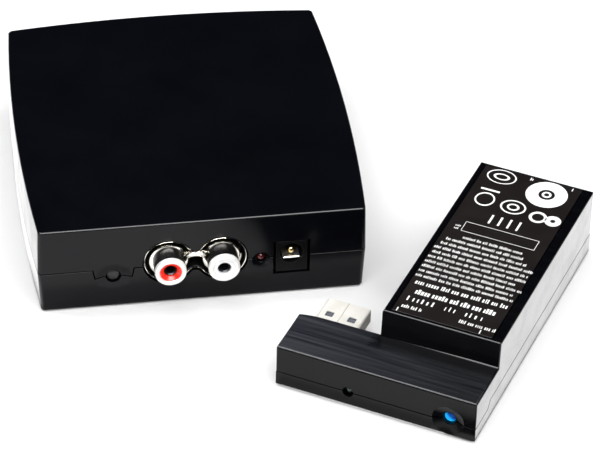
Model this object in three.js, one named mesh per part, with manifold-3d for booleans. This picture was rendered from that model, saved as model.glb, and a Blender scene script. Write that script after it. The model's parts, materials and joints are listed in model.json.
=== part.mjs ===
// Two-piece wireless audio kit: a square sender box with phono sockets and a DC inlet,
// and an L-shaped USB receiver that lies beside it.  Millimetres, +Z up.
// The box faces -Y.  The receiver has its own frame: U along its front, V to its back.
import * as THREE from 'three';
import { mergeVertices } from 'three/addons/utils/BufferGeometryUtils.js';
import Module from 'manifold-3d';

const wasm = await Module();
wasm.setup();

// ---------------------------------------------------------------- driving dimensions
const GAP = 0.3;            // clearance between neighbouring pieces
const CUT = 2;              // how far a cutting solid runs past what it cuts

const BOX_WIDTH = 86.0;     // front face at the parting line, corner to corner
const BOX_DEPTH = 92.5;     // front face to the back corners
const BOX_TOP = 26.1;
const BOX_BASE = 0.6;       // underside, carried on the rubber feet
const BOX_PART = 12.5;      // height of the line between the two half shells
const BOX_BOW = 2.0;        // how far the left and right sides swell outward
const BOX_BACK_BOW = 2.4;   // how far the back swells outward
const BOX_DRAFT = 0.55;     // how far the sides of the lower shell draw in at its foot
const BOX_TOP_DRAFT = 0.35; // how far the sides of the upper shell draw in at its top
const BOX_WALL = 1.8;
const BOX_CORNER = 0.8;     // chamfer of the upright corners
const FRONT = -BOX_DEPTH / 2;

const PHONO_X = [-8.9, 5.1];
const PHONO_Z = 13.4;
const PHONO_REACH = 4.75;   // barrels stand this far out of the panel
const PHONO_BARREL = 4.15;  // outer radius
const PHONO_BORE = 3.2;
const PHONO_RECESS = 4.2;   // depth of the tray floor behind the panel
const PHONO_SHOULDER = 5.15; // radius of the shoulder that each barrel stands on
const TRAY_RADIUS = 6.6;
const TRAY_WAIST = 2.9;     // half the height of the neck between the two cups
const TRAY_SKIN = 0.6;

const LAMP_X = 15.4;
const LAMP_Z = 11.7;
const LAMP_RADIUS = 1.1;

const INLET_X = 23.35;
const INLET_WIDTH = 8.3;
const INLET_LOW = 7.4;
const INLET_HIGH = 17.1;
const INLET_SUNK = 0.1;     // its face lies this far behind the panel
const INLET_GAP = 0.7;      // open groove at its left, right and lower edges
const INLET_BORE_Z = 13.2;
const INLET_BORE = 3.1;
const INLET_BLADE_Z = 11.15;

const BOX_KEY_X = -23.35;
const KEY_DROP = 2.8;       // the parting line drops by this much round the button
const KEY_STEP_TOP = 5.4;   // half the width of that step at its top
const KEY_STEP_FOOT = 4.85; // and at its foot
const BOX_KEY_Z = BOX_PART - KEY_DROP;
const BOX_KEY_RADIUS = 1.75;
const BOX_DISH = 4.8;       // radius of the finger dish at the panel
const BOX_DISH_DEPTH = 0.9;
const BOX_DISH_FLOOR = 2.6; // and its radius where it meets the hole of the button

const BOX_BOARD_Z = 4.2;
const BOARD_THICK = 1.6;
const SCREW_X = 37.0;
const SCREW_Y = 40.0;
const POST_RADIUS = 3.3;
const SCREW_HEAD = 2.5;     // radius of a screw head
const SCREW_SHANK = 1.25;   // radius of its shank
const SCREW_SEAT = 4.2;     // height of the shoulder that the screw head pulls on
const FOOT_X = 30;
const FOOT_Y = 33;
const FOOT_RADIUS = 4.5;
const FOOT_TOP = 1.4;

const RX_PLACE = [13.9, -82.8];   // front left corner of the receiver, from the box centre
const RX_YAW = THREE.MathUtils.degToRad(-32.05);
const RX_WIDTH = 54.3;
const RX_LENGTH = 84.6;
const RX_DECK = 12.95;      // top of the low deck
const RX_TOP = 20.9;        // top of the high block
const RX_BLOCK = 31.9;      // width of the high block
const RX_STEP = 15.5;       // where the block rises out of the deck
const RX_PART = 4.75;
const RX_JOG_V = 8.3;       // along the sides the parting line climbs from here
const RX_JOG_END = 10.3;    // to here
const RX_JOG = 2.0;         // by this much
const RX_WALL = 1.6;
const RX_EDGE = 0.8;        // chamfer round the underside
const RX_ARM_CURVE = 7;     // the arm's back edge curves forward over this length
const RX_ARM_SAG = 0.95;
const RX_LAMP_U = 19.8;
const RX_LAMP_RADIUS = 1.2;
const RX_KEY_U = 46.9;
const RX_KEY_Z = 5.1;
const RX_KEY_RADIUS = 1.5;
const RX_DISH = 4.3;
const RX_DISH_DEPTH = 1.0;
const RX_DISH_FLOOR = 2.2;
const RX_BOARD_Z = 2.0;
const RX_BOARD_THICK = 1.0;

const RX_SCREWS = [[38.3, 79.7]];
const RX_POST = 3.1;        // radius of the screw post
const RX_SEAT = 2.6;        // shoulder that the screw head pulls on
const LABEL_LEFT = 1.6;     // margins round the label
const LABEL_RIGHT = 2.6;
const LABEL_END = 0.9;
const LABEL_SINK = 0.5;

const USB_U = 8.05;         // centre line of the plug
const USB_WIDTH = 12.0;
const USB_HEIGHT = 4.5;
const USB_LOW = 3.5;
const USB_SKIN = 0.35;
const USB_TIP = 29.2;
const USB_ROOT = 6.5;
const USB_WINDOW_V = USB_TIP - 6.1;
const USB_WINDOW_U = 3.1;
const USB_WINDOW = 2.2;     // its latch windows are square

const PRESS_ROOM = 0.6;     // space behind a switch plunger; it travels half of this

// ---------------------------------------------------------------- materials
function finish(color, roughness, metalness = 0, opacity = 1) {
  return new THREE.MeshStandardMaterial({
    color, roughness, metalness, opacity, transparent: opacity < 1,
  });
}
const blackGloss = finish(0x101116, 0.25);
const blackSatin = finish(0x16171b, 0.45);
const blackPlain = finish(0x0c0c0e, 0.5);
const labelPrint = finish(0x1c1616, 0.35);
const chrome = finish(0xd9d4c8, 0.12, 1);
const nickel = finish(0xcfcabf, 0.25, 1);
const gold = finish(0xc9a253, 0.25, 1);
const redPlastic = finish(0xd8220f, 0.35);
const whitePlastic = finish(0xf4f4f2, 0.35);
const redLens = finish(0x4a1214, 0.2);
const greenLens = finish(0x1a5a44, 0.2);
const blueLens = finish(0x1294e6, 0.25);
const boardGreen = finish(0x1d4a2c, 0.5);
const rubber = finish(0x1b1b1c, 0.9);
const steel = finish(0x8c8d90, 0.35, 1);

// ---------------------------------------------------------------- solids
function solid(geometry) {
  const bare = geometry.clone();
  bare.deleteAttribute('normal');
  bare.deleteAttribute('uv');
  const merged = mergeVertices(bare, 1e-5);
  return new wasm.Manifold(new wasm.Mesh({
    numProp: 3,
    vertProperties: new Float32Array(merged.attributes.position.array),
    triVerts: new Uint32Array(merged.index.array),
  }));
}

function geometryOf(body) {
  const mesh = body.getMesh();
  const geometry = new THREE.BufferGeometry();
  geometry.setAttribute('position', new THREE.BufferAttribute(mesh.vertProperties, 3));
  geometry.setIndex(new THREE.BufferAttribute(mesh.triVerts, 1));
  geometry.computeVertexNormals();
  return geometry;
}

function joined(...geometries) {
  return geometries.map(solid).reduce((sum, next) => sum.add(next));
}

function cutBy(body, ...geometries) {
  return geometries.map(solid).reduce((rest, tool) => rest.subtract(tool), body);
}

// A block given by its low and high corner.
function block(low, high) {
  const size = high.map((value, axis) => value - low[axis]);
  const middle = high.map((value, axis) => (value + low[axis]) / 2);
  return new THREE.BoxGeometry(...size).translate(...middle);
}

// A round bar along Y, between two depths; the far end may have its own radius.
function barY(x, z, radius, y0, y1, farRadius = radius, sides = 24) {
  const bar = new THREE.CylinderGeometry(farRadius, radius, y1 - y0, sides);
  return bar.translate(x, (y0 + y1) / 2, z);
}

// A round bar along Z, between two heights.
function barZ(x, y, radius, z0, z1, sides = 20) {
  const bar = new THREE.CylinderGeometry(radius, radius, z1 - z0, sides);
  return bar.rotateX(Math.PI / 2).translate(x, y, (z0 + z1) / 2);
}

// A tube along Y.
function tubeY(x, z, outer, inner, y0, y1, sides = 24) {
  const profile = [[inner, y0], [outer, y0], [outer, y1], [inner, y1], [inner, y0]];
  const points = profile.map(([r, y]) => new THREE.Vector2(r, y));
  return new THREE.LatheGeometry(points, sides).translate(x, 0, z);
}

// An upright prism over an outline.
function prism(outline, z0, z1) {
  const shape = new THREE.Shape(outline);
  const options = { depth: z1 - z0, bevelEnabled: false, steps: 1 };
  return new THREE.ExtrudeGeometry(shape, options).translate(0, 0, z0);
}

// A body through a stack of outlines that all have the same number of points.
function loft(levels) {
  const count = levels[0].outline.length;
  const positions = [];
  const index = [];
  for (const { outline, z } of levels) {
    for (const point of outline) positions.push(point.x, point.y, z);
  }
  for (let level = 0; level < levels.length - 1; level += 1) {
    for (let i = 0; i < count; i += 1) {
      const a = level * count + i;
      const b = level * count + (i + 1) % count;
      index.push(a, b, b + count, a, b + count, a + count);
    }
  }
  const top = (levels.length - 1) * count;
  const caps = THREE.ShapeUtils.triangulateShape(levels[0].outline, []);
  for (const [a, b, c] of caps) index.push(c, b, a, top + a, top + b, top + c);
  const geometry = new THREE.BufferGeometry();
  geometry.setAttribute('position', new THREE.Float32BufferAttribute(positions, 3));
  geometry.setIndex(index);
  return geometry;
}

function put(group, name, material, shape) {
  const geometry = shape.isBufferGeometry ? shape : geometryOf(shape);
  const mesh = new THREE.Mesh(geometry, material);
  mesh.name = name;
  group.add(mesh);
  return mesh;
}

// A bent wire of round section through a few points.
function wire(points, radius) {
  const path = new THREE.CurvePath();
  for (let i = 1; i < points.length; i += 1) {
    path.add(new THREE.LineCurve3(new THREE.Vector3(...points[i - 1]), new THREE.Vector3(...points[i])));
  }
  const section = new THREE.Shape();
  section.absarc(0, 0, radius, 0, 2 * Math.PI);
  const options = { steps: 2 * (points.length - 1), curveSegments: 4, extrudePath: path };
  return new THREE.ExtrudeGeometry(section, options);
}

// ---------------------------------------------------------------- sender box
// Plan of the box: straight front, swollen right, back and left sides, chamfered corners.
function boxOutline(side, ends = side, corner = BOX_CORNER) {
  const x = BOX_WIDTH / 2 - side;
  const y0 = FRONT + ends;
  const y1 = BOX_DEPTH / 2 - ends;
  const steps = 12;
  const points = [new THREE.Vector2(-x + corner, y0), new THREE.Vector2(x - corner, y0)];
  const swell = (t, bow) => bow * 4 * t * (1 - t);
  for (let i = 0; i <= steps; i += 1) {
    const t = i / steps;
    const y = THREE.MathUtils.lerp(y0 + corner, y1 - corner, t);
    points.push(new THREE.Vector2(x + swell(t, BOX_BOW), y));
  }
  for (let i = 0; i <= steps; i += 1) {
    const t = i / steps;
    const across = THREE.MathUtils.lerp(x - corner, -x + corner, t);
    points.push(new THREE.Vector2(across, y1 + swell(t, BOX_BACK_BOW)));
  }
  for (let i = 0; i <= steps; i += 1) {
    const t = i / steps;
    const y = THREE.MathUtils.lerp(y1 - corner, y0 + corner, t);
    points.push(new THREE.Vector2(-x - swell(t, BOX_BOW), y));
  }
  return points;
}

// A prism that runs back along Y over an outline drawn in X and Z.
function prismY(outline, y0, y1) {
  const options = { depth: y1 - y0, bevelEnabled: false, steps: 1 };
  const geometry = new THREE.ExtrudeGeometry(new THREE.Shape(outline), options);
  return geometry.rotateX(Math.PI / 2).translate(0, y1, 0);
}

// A prism that runs along X over an outline drawn in Y and Z.
function prismX(outline, x0, x1) {
  const options = { depth: x1 - x0, bevelEnabled: false, steps: 1 };
  const geometry = new THREE.ExtrudeGeometry(new THREE.Shape(outline), options);
  return geometry.rotateX(Math.PI / 2).rotateZ(Math.PI / 2).translate(x0, 0, 0);
}

// Two round cups joined by a neck, seen from the front and running back along Y.
// Each side of the neck is an arc that meets both cups without a corner.
function dogBone(grow, y0, y1) {
  const radius = TRAY_RADIUS + grow;
  const neck = TRAY_WAIST + grow;
  const [left, right] = PHONO_X;
  const half = (right - left) / 2;
  const middle = (left + right) / 2;
  const fillet = (half ** 2 + neck ** 2 - radius ** 2) / (2 * (radius - neck));
  const turn = Math.atan2(neck + fillet, half);
  const shape = new THREE.Shape();
  shape.absarc(right, PHONO_Z, radius, Math.PI + turn, Math.PI - turn, false);
  shape.absarc(middle, PHONO_Z + neck + fillet, fillet, -turn, turn - Math.PI, true);
  shape.absarc(left, PHONO_Z, radius, turn, -turn, false);
  shape.absarc(middle, PHONO_Z - neck - fillet, fillet, Math.PI - turn, turn, true);
  const points = shape.getPoints(20).slice(0, -1);
  return solid(prismY(points, y0, y1));
}

const SCREW_SPOTS = [[-1, -1], [1, -1], [1, 1], [-1, 1]].map(([x, y]) => [x * SCREW_X, y * SCREW_Y]);
const FOOT_SPOTS = [[-1, -1], [1, -1], [1, 1], [-1, 1]].map(([x, y]) => [x * FOOT_X, y * FOOT_Y]);

// The closed case before it is parted: skin, screw posts, openings and finger dish.
function boxCase() {
  const skin = solid(loft([
    { outline: boxOutline(BOX_DRAFT, BOX_DRAFT / 2), z: BOX_BASE },
    { outline: boxOutline(0), z: BOX_PART },
    { outline: boxOutline(BOX_TOP_DRAFT, 0), z: BOX_TOP },
  ]));
  const room = solid(loft([
    { outline: boxOutline(BOX_WALL + BOX_DRAFT), z: BOX_BASE + 2.2 },
    { outline: boxOutline(BOX_WALL), z: BOX_PART },
    { outline: boxOutline(BOX_WALL + BOX_TOP_DRAFT, BOX_WALL), z: BOX_TOP - BOX_WALL },
  ]));
  const posts = SCREW_SPOTS.map(([x, y]) => barZ(x, y, POST_RADIUS, BOX_BASE + 1, BOX_TOP - 1));
  const pad = barY(BOX_KEY_X, BOX_KEY_Z, BOX_DISH + 0.8, FRONT + 1, FRONT + 3.2);
  const inlet = block(
    [INLET_X - INLET_WIDTH / 2 - INLET_GAP, FRONT - CUT, INLET_LOW - INLET_GAP],
    [INLET_X + INLET_WIDTH / 2 + INLET_GAP, FRONT + BOX_WALL + CUT, INLET_HIGH + GAP],
  );
  const keyHole = barY(BOX_KEY_X, BOX_KEY_Z, BOX_KEY_RADIUS + GAP, FRONT - CUT, FRONT + 2 * CUT);
  const dish = barY(
    BOX_KEY_X, BOX_KEY_Z, BOX_DISH * 2 - BOX_DISH_FLOOR,
    FRONT - BOX_DISH_DEPTH, FRONT + BOX_DISH_DEPTH, BOX_DISH_FLOOR,
  );
  const lampHole = barY(LAMP_X, LAMP_Z, LAMP_RADIUS + GAP, FRONT - CUT, FRONT + 2 * CUT);
  const lampSink = barY(LAMP_X, LAMP_Z, 3.8, FRONT - 1.4, FRONT + 1.2, 1.5);
  const shanks = SCREW_SPOTS.map(([x, y]) => barZ(x, y, SCREW_SHANK + GAP, 2, 19));
  const heads = SCREW_SPOTS.map(([x, y]) => barZ(x, y, SCREW_HEAD + GAP, -CUT, SCREW_SEAT));
  const pockets = FOOT_SPOTS.map(([x, y]) => barZ(x, y, FOOT_RADIUS + GAP, -CUT, FOOT_TOP + GAP));
  let body = skin.subtract(room);
  for (const post of posts) body = body.add(solid(post).intersect(skin));
  body = body.add(solid(pad));
  body = body.subtract(dogBone(GAP, FRONT - CUT, FRONT + 2 * CUT));
  return cutBy(body, inlet, keyHole, dish, lampHole, lampSink, ...shanks, ...heads, ...pockets);
}

// Everything above the parting surface, raised or lowered by half the gap.
function aboveParting(shift) {
  const reach = BOX_WIDTH;
  const foot = KEY_STEP_FOOT - shift;
  const top = KEY_STEP_TOP - shift;
  const step = [[-foot, BOX_KEY_Z], [foot, BOX_KEY_Z], [top, BOX_PART], [top, BOX_TOP],
    [-top, BOX_TOP], [-top, BOX_PART]];
  const outline = step.map(([x, z]) => new THREE.Vector2(BOX_KEY_X + x, z + shift));
  return joined(
    block([-reach, -reach, BOX_PART + shift], [reach, reach, BOX_TOP + CUT]),
    prismY(outline, FRONT - CUT, FRONT + 2 * CUT),
  );
}

// The plated shell of both sockets: a tray with a lip, a shoulder round each barrel, a bridge
// across the upper half of the neck, and the two barrels.
function phonoShell() {
  const lip = FRONT + 0.4;
  const floor = FRONT + PHONO_RECESS;
  const back = floor + TRAY_SKIN;
  const [left, right] = PHONO_X;
  const bridge = block(
    [left + PHONO_BARREL, FRONT + 1.0, PHONO_Z + 0.1],
    [right - PHONO_BARREL, back, PHONO_Z + TRAY_WAIST - TRAY_SKIN / 2],
  );
  let body = dogBone(0, lip, back).subtract(dogBone(-TRAY_SKIN, lip - CUT, floor));
  body = body.add(solid(bridge));
  for (const x of PHONO_X) {
    body = body.add(solid(barY(x, PHONO_Z, PHONO_SHOULDER, FRONT + 0.5, back, PHONO_SHOULDER, 32)));
    body = body.add(solid(barY(x, PHONO_Z, PHONO_BARREL, FRONT - PHONO_REACH, back, PHONO_BARREL, 32)));
  }
  const bores = PHONO_X.map((x) => barY(x, PHONO_Z, PHONO_BORE, FRONT - 2 * PHONO_REACH, back + CUT));
  return cutBy(body, ...bores);
}

// A push button: a round head through the panel and a wider collar behind it.
function buttonCap(x, z, radius, faceY, collarY) {
  return joined(
    barY(x, z, radius, faceY, collarY + 1.0),
    barY(x, z, radius + 1.0, collarY, collarY + 1.0),
    barY(x, z, 0.9, collarY + 0.9, collarY + 2.0),
  );
}

// A tactile switch standing on edge, with a round well that its plunger sinks into.
function switchBody(x, z, frontY, low) {
  const body = solid(block([x - 3, frontY, low], [x + 3, frontY + 3.4, z + 3]));
  return cutBy(body, barY(x, z, 1.7 + GAP, frontY - CUT, frontY + 1.0 + PRESS_ROOM));
}

// A round lamp: domed lens, collar and two legs that bend down to the board.
function lamp(x, z, radius, tipY, legZ) {
  const dome = [];
  for (let i = 0; i <= 4; i += 1) {
    const angle = (i / 4) * Math.PI / 2;
    dome.push(new THREE.Vector2(radius * Math.sin(angle), tipY + radius * 0.7 * (1 - Math.cos(angle))));
  }
  const back = tipY + 4.4;
  const profile = [
    ...dome,
    new THREE.Vector2(radius, back - 1),
    new THREE.Vector2(radius + 0.35, back - 1),
    new THREE.Vector2(radius + 0.35, back),
    new THREE.Vector2(0, back),
  ];
  const lens = new THREE.LatheGeometry(profile, 16).translate(x, 0, z);
  const legs = [-0.6, 0.6].map((side) => joined(
    block([x + side - 0.25, back - 0.5, z - 0.25], [x + side + 0.25, back + 1.2, z + 0.25]),
    block([x + side - 0.25, back + 0.7, legZ], [x + side + 0.25, back + 1.2, z + 0.25]),
  ));
  return legs.reduce((sum, leg) => sum.add(leg), solid(lens));
}

// The inlet: a square face in the panel, and behind it a foot that stands on the board.
function dcInlet(footZ) {
  const back = FRONT + 13;
  const left = INLET_X - INLET_WIDTH / 2;
  const right = INLET_X + INLET_WIDTH / 2;
  const body = joined(
    block([left, FRONT + INLET_SUNK, INLET_LOW], [right, back, INLET_HIGH]),
    block([left, FRONT + 4, footZ], [right, back, INLET_LOW + 1]),
  );
  return cutBy(
    body,
    barY(INLET_X, INLET_BORE_Z, INLET_BORE, FRONT - CUT, FRONT + 9.5, INLET_BORE, 28),
    barY(INLET_X, INLET_BORE_Z, 1.05 + GAP, FRONT + 9, back + CUT),
  );
}

function capacitor(x, y, radius, low, height) {
  const top = low + height;
  const profile = [
    [0, low], [radius, low], [radius, low + 1], [radius - 0.25, low + 1.4], [radius, low + 1.8],
    [radius, top - 0.3], [radius - 0.3, top], [0, top],
  ];
  const points = profile.map(([r, z]) => new THREE.Vector2(r, z));
  return new THREE.LatheGeometry(points, 16).rotateX(Math.PI / 2).translate(x, y, 0);
}

// A pressed metal can, open underneath.
function shieldCan(low, high, skin) {
  const room = block(
    [low[0] + skin, low[1] + skin, low[2] - CUT],
    [high[0] - skin, high[1] - skin, high[2] - skin],
  );
  return cutBy(solid(block(low, high)), room);
}

// A round-headed screw standing on its head, with a cross recess.
function screw(x, y, headZ, shoulderZ, tipZ) {
  const body = joined(
    barZ(x, y, SCREW_HEAD, headZ, shoulderZ),
    barZ(x, y, SCREW_SHANK, shoulderZ - 0.1, tipZ, 16),
  );
  return cutBy(
    body,
    block([x - 1.5, y - 0.3, headZ - CUT], [x + 1.5, y + 0.3, headZ + 0.8]),
    block([x - 0.3, y - 1.5, headZ - CUT], [x + 0.3, y + 1.5, headZ + 0.8]),
  );
}

function senderBox() {
  const box = new THREE.Group();
  const shell = boxCase();
  put(box, 'base_upper_shell', blackGloss, shell.intersect(aboveParting(GAP / 2)));
  put(box, 'base_lower_shell', blackGloss, shell.subtract(aboveParting(-GAP / 2)));

  const boardTop = BOX_BOARD_Z + BOARD_THICK;
  const seat = boardTop + GAP;
  put(box, 'base_circuit_board', boardGreen,
    block([-33, FRONT + 3.6, BOX_BOARD_Z], [33, 24, boardTop]));

  const trayBack = FRONT + PHONO_RECESS + TRAY_SKIN;
  put(box, 'phono_metal_shell', chrome, phonoShell());
  put(box, 'phono_housing', blackPlain,
    block([-15.6, trayBack + GAP, seat], [11.6, trayBack + 12, PHONO_Z + 6.6]));
  ['red', 'white'].forEach((colour, i) => {
    const material = colour === 'red' ? redPlastic : whitePlastic;
    const x = PHONO_X[i];
    put(box, `phono_insulator_${colour}`, material,
      tubeY(x, PHONO_Z, PHONO_BORE - 0.2, 1.65, FRONT - PHONO_REACH + 0.1, trayBack));
    put(box, `phono_contact_${colour}`, nickel,
      tubeY(x, PHONO_Z, 1.5, 1.2, FRONT - PHONO_REACH + 1.4, trayBack, 16));
  });

  put(box, 'base_lamp', redLens, lamp(LAMP_X, LAMP_Z, LAMP_RADIUS, FRONT + 0.9, seat));

  const boreFloor = FRONT + 9.5;
  put(box, 'dc_inlet_body', blackPlain, dcInlet(seat));
  put(box, 'dc_inlet_pin', gold, joined(
    barY(INLET_X, INLET_BORE_Z, 1.05, FRONT + 1.4, FRONT + 13.6, 1.05, 16),
    barY(INLET_X, INLET_BORE_Z, 0.75, FRONT + 1.0, FRONT + 1.5, 1.05, 16),
    barY(INLET_X, INLET_BORE_Z, 1.9, FRONT + 13.3, FRONT + 14.0, 1.9, 16),
  ));
  put(box, 'dc_inlet_spring', nickel,
    block([INLET_X - 2.25, FRONT + 0.6, INLET_BLADE_Z],
      [INLET_X + 2.25, boreFloor - GAP, INLET_BLADE_Z + 0.3]));

  const collarY = FRONT + 3.2 + GAP;
  const plungerY = collarY + 2.0 + GAP;
  const switchY = plungerY + 1.0;
  put(box, 'base_button_cap', blackSatin,
    buttonCap(BOX_KEY_X, BOX_KEY_Z, BOX_KEY_RADIUS, FRONT + 1.1, collarY));
  put(box, 'base_switch_plunger', blackPlain,
    barY(BOX_KEY_X, BOX_KEY_Z, 1.7, plungerY, switchY + 1.0));
  put(box, 'base_switch_body', steel, switchBody(BOX_KEY_X, BOX_KEY_Z, switchY, seat));

  const moduleZ = seat + 1.0;
  put(box, 'base_radio_board', boardGreen, block([-27, -8, seat], [-5, 22, moduleZ]));
  put(box, 'base_radio_can', steel,
    shieldCan([-25.5, -6.5, moduleZ + GAP], [-6.5, 11, moduleZ + 2.6], 0.4));
  put(box, 'base_aerial', gold, wire([
    [-23, 13.5, moduleZ + 0.6], [-23, 19.5, moduleZ + 0.6], [-9, 19.5, moduleZ + 0.6],
    [-9, 16.5, moduleZ + 0.6], [-16, 16.5, moduleZ + 0.6],
  ], 0.25));
  put(box, 'base_audio_chip', blackPlain, block([1, -14, seat], [8, -7, seat + 1.2]));
  put(box, 'base_crystal', steel, prism(stadium(14.5, -10.5, 9.5, 3.8), seat, seat + 3.4));
  put(box, 'base_coil', blackPlain, block([18, -24, seat], [25, -17, seat + 4]));
  put(box, 'base_regulator', blackPlain, block([8.5, -25, seat], [14.5, -19.5, seat + 1.8]));
  put(box, 'base_capacitor_1', blackSatin, capacitor(26, -9, 4, seat, 11));
  put(box, 'base_capacitor_2', blackSatin, capacitor(26, 3, 4, seat, 11));
  put(box, 'base_capacitor_3', blackSatin, capacitor(15, 4, 3.1, seat, 8));

  SCREW_SPOTS.forEach(([x, y], i) => {
    put(box, `base_screw_${i + 1}`, steel, screw(x, y, 1.6, SCREW_SEAT - GAP, 17));
  });
  FOOT_SPOTS.forEach(([x, y], i) => {
    put(box, `base_foot_${i + 1}`, rubber, barZ(x, y, FOOT_RADIUS, 0, FOOT_TOP, 28));
  });
  return box;
}

// A plan outline with half-round ends, centred on a point.
function stadium(x, y, length, width) {
  const shape = new THREE.Shape();
  const reach = (length - width) / 2;
  shape.absarc(x + reach, y, width / 2, -Math.PI / 2, Math.PI / 2);
  shape.absarc(x - reach, y, width / 2, Math.PI / 2, 3 * Math.PI / 2);
  return shape.getPoints(6);
}

// ---------------------------------------------------------------- USB receiver
// Plan of the receiver: an L, with the arm's back edge curving forward at its free end.
function receiverOutline(inset) {
  const notch = RX_WIDTH - RX_BLOCK + inset;
  const points = [
    new THREE.Vector2(inset, inset),
    new THREE.Vector2(RX_WIDTH - inset, inset),
    new THREE.Vector2(RX_WIDTH - inset, RX_LENGTH - inset),
    new THREE.Vector2(notch, RX_LENGTH - inset),
    new THREE.Vector2(notch, RX_STEP - inset),
  ];
  const steps = 6;
  for (let i = 0; i <= steps; i += 1) {
    const u = THREE.MathUtils.lerp(RX_ARM_CURVE, inset, i / steps);
    const sag = RX_ARM_SAG * ((RX_ARM_CURVE - u) / RX_ARM_CURVE) ** 2;
    points.push(new THREE.Vector2(u, RX_STEP - sag - inset));
  }
  return points;
}

function blockOutline(inset) {
  const left = RX_WIDTH - RX_BLOCK + inset;
  const right = RX_WIDTH - inset;
  return [[left, RX_STEP + inset], [right, RX_STEP + inset], [right, RX_LENGTH - inset],
    [left, RX_LENGTH - inset]].map(([u, v]) => new THREE.Vector2(u, v));
}

function receiverCase() {
  const skin = solid(loft([
    { outline: receiverOutline(RX_EDGE), z: 0 },
    { outline: receiverOutline(0), z: RX_EDGE },
    { outline: receiverOutline(0), z: RX_DECK },
  ])).add(solid(prism(blockOutline(0), RX_DECK - 1, RX_TOP)));
  const room = solid(prism(receiverOutline(RX_WALL), RX_WALL, RX_DECK - RX_WALL))
    .add(solid(prism(blockOutline(RX_WALL), RX_WALL, RX_TOP - RX_WALL)));
  const pad = barY(RX_KEY_U, RX_KEY_Z, RX_DISH, 1, 3.4);
  const dish = barY(
    RX_KEY_U, RX_KEY_Z, RX_DISH * 2 - RX_DISH_FLOOR, -RX_DISH_DEPTH, RX_DISH_DEPTH, RX_DISH_FLOOR,
  );
  const keyHole = barY(RX_KEY_U, RX_KEY_Z, RX_KEY_RADIUS + GAP, -CUT, 2 * CUT + 1);
  const lampHole = barY(RX_LAMP_U, RX_PART, RX_LAMP_RADIUS + GAP, -CUT, 2 * CUT);
  const plugHole = block(
    [USB_U - USB_WIDTH / 2 - GAP, RX_STEP - 2 * CUT, USB_LOW - GAP],
    [USB_U + USB_WIDTH / 2 + GAP, RX_STEP + CUT, USB_LOW + USB_HEIGHT + GAP],
  );
  const labelBed = block(
    [RX_WIDTH - RX_BLOCK + LABEL_LEFT, RX_STEP + LABEL_END, RX_TOP - LABEL_SINK],
    [RX_WIDTH - LABEL_RIGHT, RX_LENGTH - LABEL_END, RX_TOP + CUT],
  );
  let body = skin.subtract(room);
  body = body.add(solid(pad).intersect(skin));
  for (const [u, v] of RX_SCREWS) {
    body = body.add(solid(barZ(u, v, RX_POST, RX_WALL - 0.5, RX_TOP - RX_WALL + 0.5)));
  }
  const shanks = RX_SCREWS.map(([u, v]) => barZ(u, v, SCREW_SHANK + GAP, 1, 13));
  const heads = RX_SCREWS.map(([u, v]) => barZ(u, v, SCREW_HEAD + GAP, -CUT, RX_SEAT));
  return cutBy(body, dish, keyHole, lampHole, plugHole, labelBed, ...shanks, ...heads);
}

function aboveReceiverParting(shift) {
  const low = RX_PART + shift;
  const high = RX_PART + RX_JOG + shift;
  const side = [[-CUT, low], [RX_JOG_V - shift, low], [RX_JOG_END - shift, high],
    [RX_LENGTH + CUT, high], [RX_LENGTH + CUT, RX_TOP + CUT], [-CUT, RX_TOP + CUT]];
  const outline = side.map(([v, z]) => new THREE.Vector2(v, z));
  return solid(prismX(outline, -CUT, RX_WIDTH + CUT));
}

function usbShell() {
  const low = [USB_U - USB_WIDTH / 2, USB_ROOT, USB_LOW];
  const high = [USB_U + USB_WIDTH / 2, USB_TIP, USB_LOW + USB_HEIGHT];
  const bore = block(
    [low[0] + USB_SKIN, USB_ROOT - CUT, low[2] + USB_SKIN],
    [high[0] - USB_SKIN, USB_TIP + CUT, high[2] - USB_SKIN],
  );
  const windows = [-1, 1].map((side) => {
    const u = USB_U + side * USB_WINDOW_U;
    return block(
      [u - USB_WINDOW / 2, USB_WINDOW_V - USB_WINDOW / 2, USB_LOW - CUT],
      [u + USB_WINDOW / 2, USB_WINDOW_V + USB_WINDOW / 2, USB_LOW + USB_HEIGHT + CUT],
    );
  });
  return cutBy(solid(block(low, high)), bore, ...windows);
}

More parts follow.
